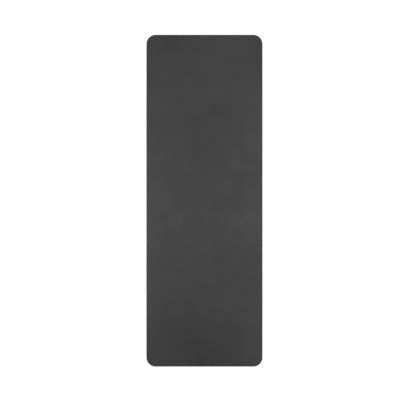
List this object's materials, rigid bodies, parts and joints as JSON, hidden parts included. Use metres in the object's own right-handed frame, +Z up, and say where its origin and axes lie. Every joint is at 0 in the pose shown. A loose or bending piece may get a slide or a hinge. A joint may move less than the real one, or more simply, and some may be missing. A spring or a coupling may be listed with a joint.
{
  "type": "exercise mat",
  "caption": "Flat exercise mat with round corners: a matt charcoal grip face on cloth-backed rubber foam, with an embossed rubber underside that holds the floor.",
  "frame": {"origin": "centre of the underside, on the floor", "axes": "+X across the mat, +Y along the mat towards the end that is uppermost in the picture, +Z up out of the grip face"},
  "size_m": [0.64, 1.83, 0.005],
  "materials": {
    "top_skin": "matt polyurethane, finely grained, charcoal",
    "carrier_cloth": "fine polyester knit, dark grey",
    "bonding_film": "hot-melt adhesive, dull",
    "foam": "rubber foam with fine cells, near black",
    "scrim": "laid polyester yarn, off-white",
    "grip_base": "dense rubber, embossed, near black"
  },
  "bodies": {
    "root": {"grip_base": "grip_base", "lower_foam": "foam", "reinforcing_scrim": "scrim", "upper_foam": "foam", "bonding_film": "bonding_film", "carrier_cloth": "carrier_cloth", "top_skin": "top_skin"}
  },
  "joints": []
}
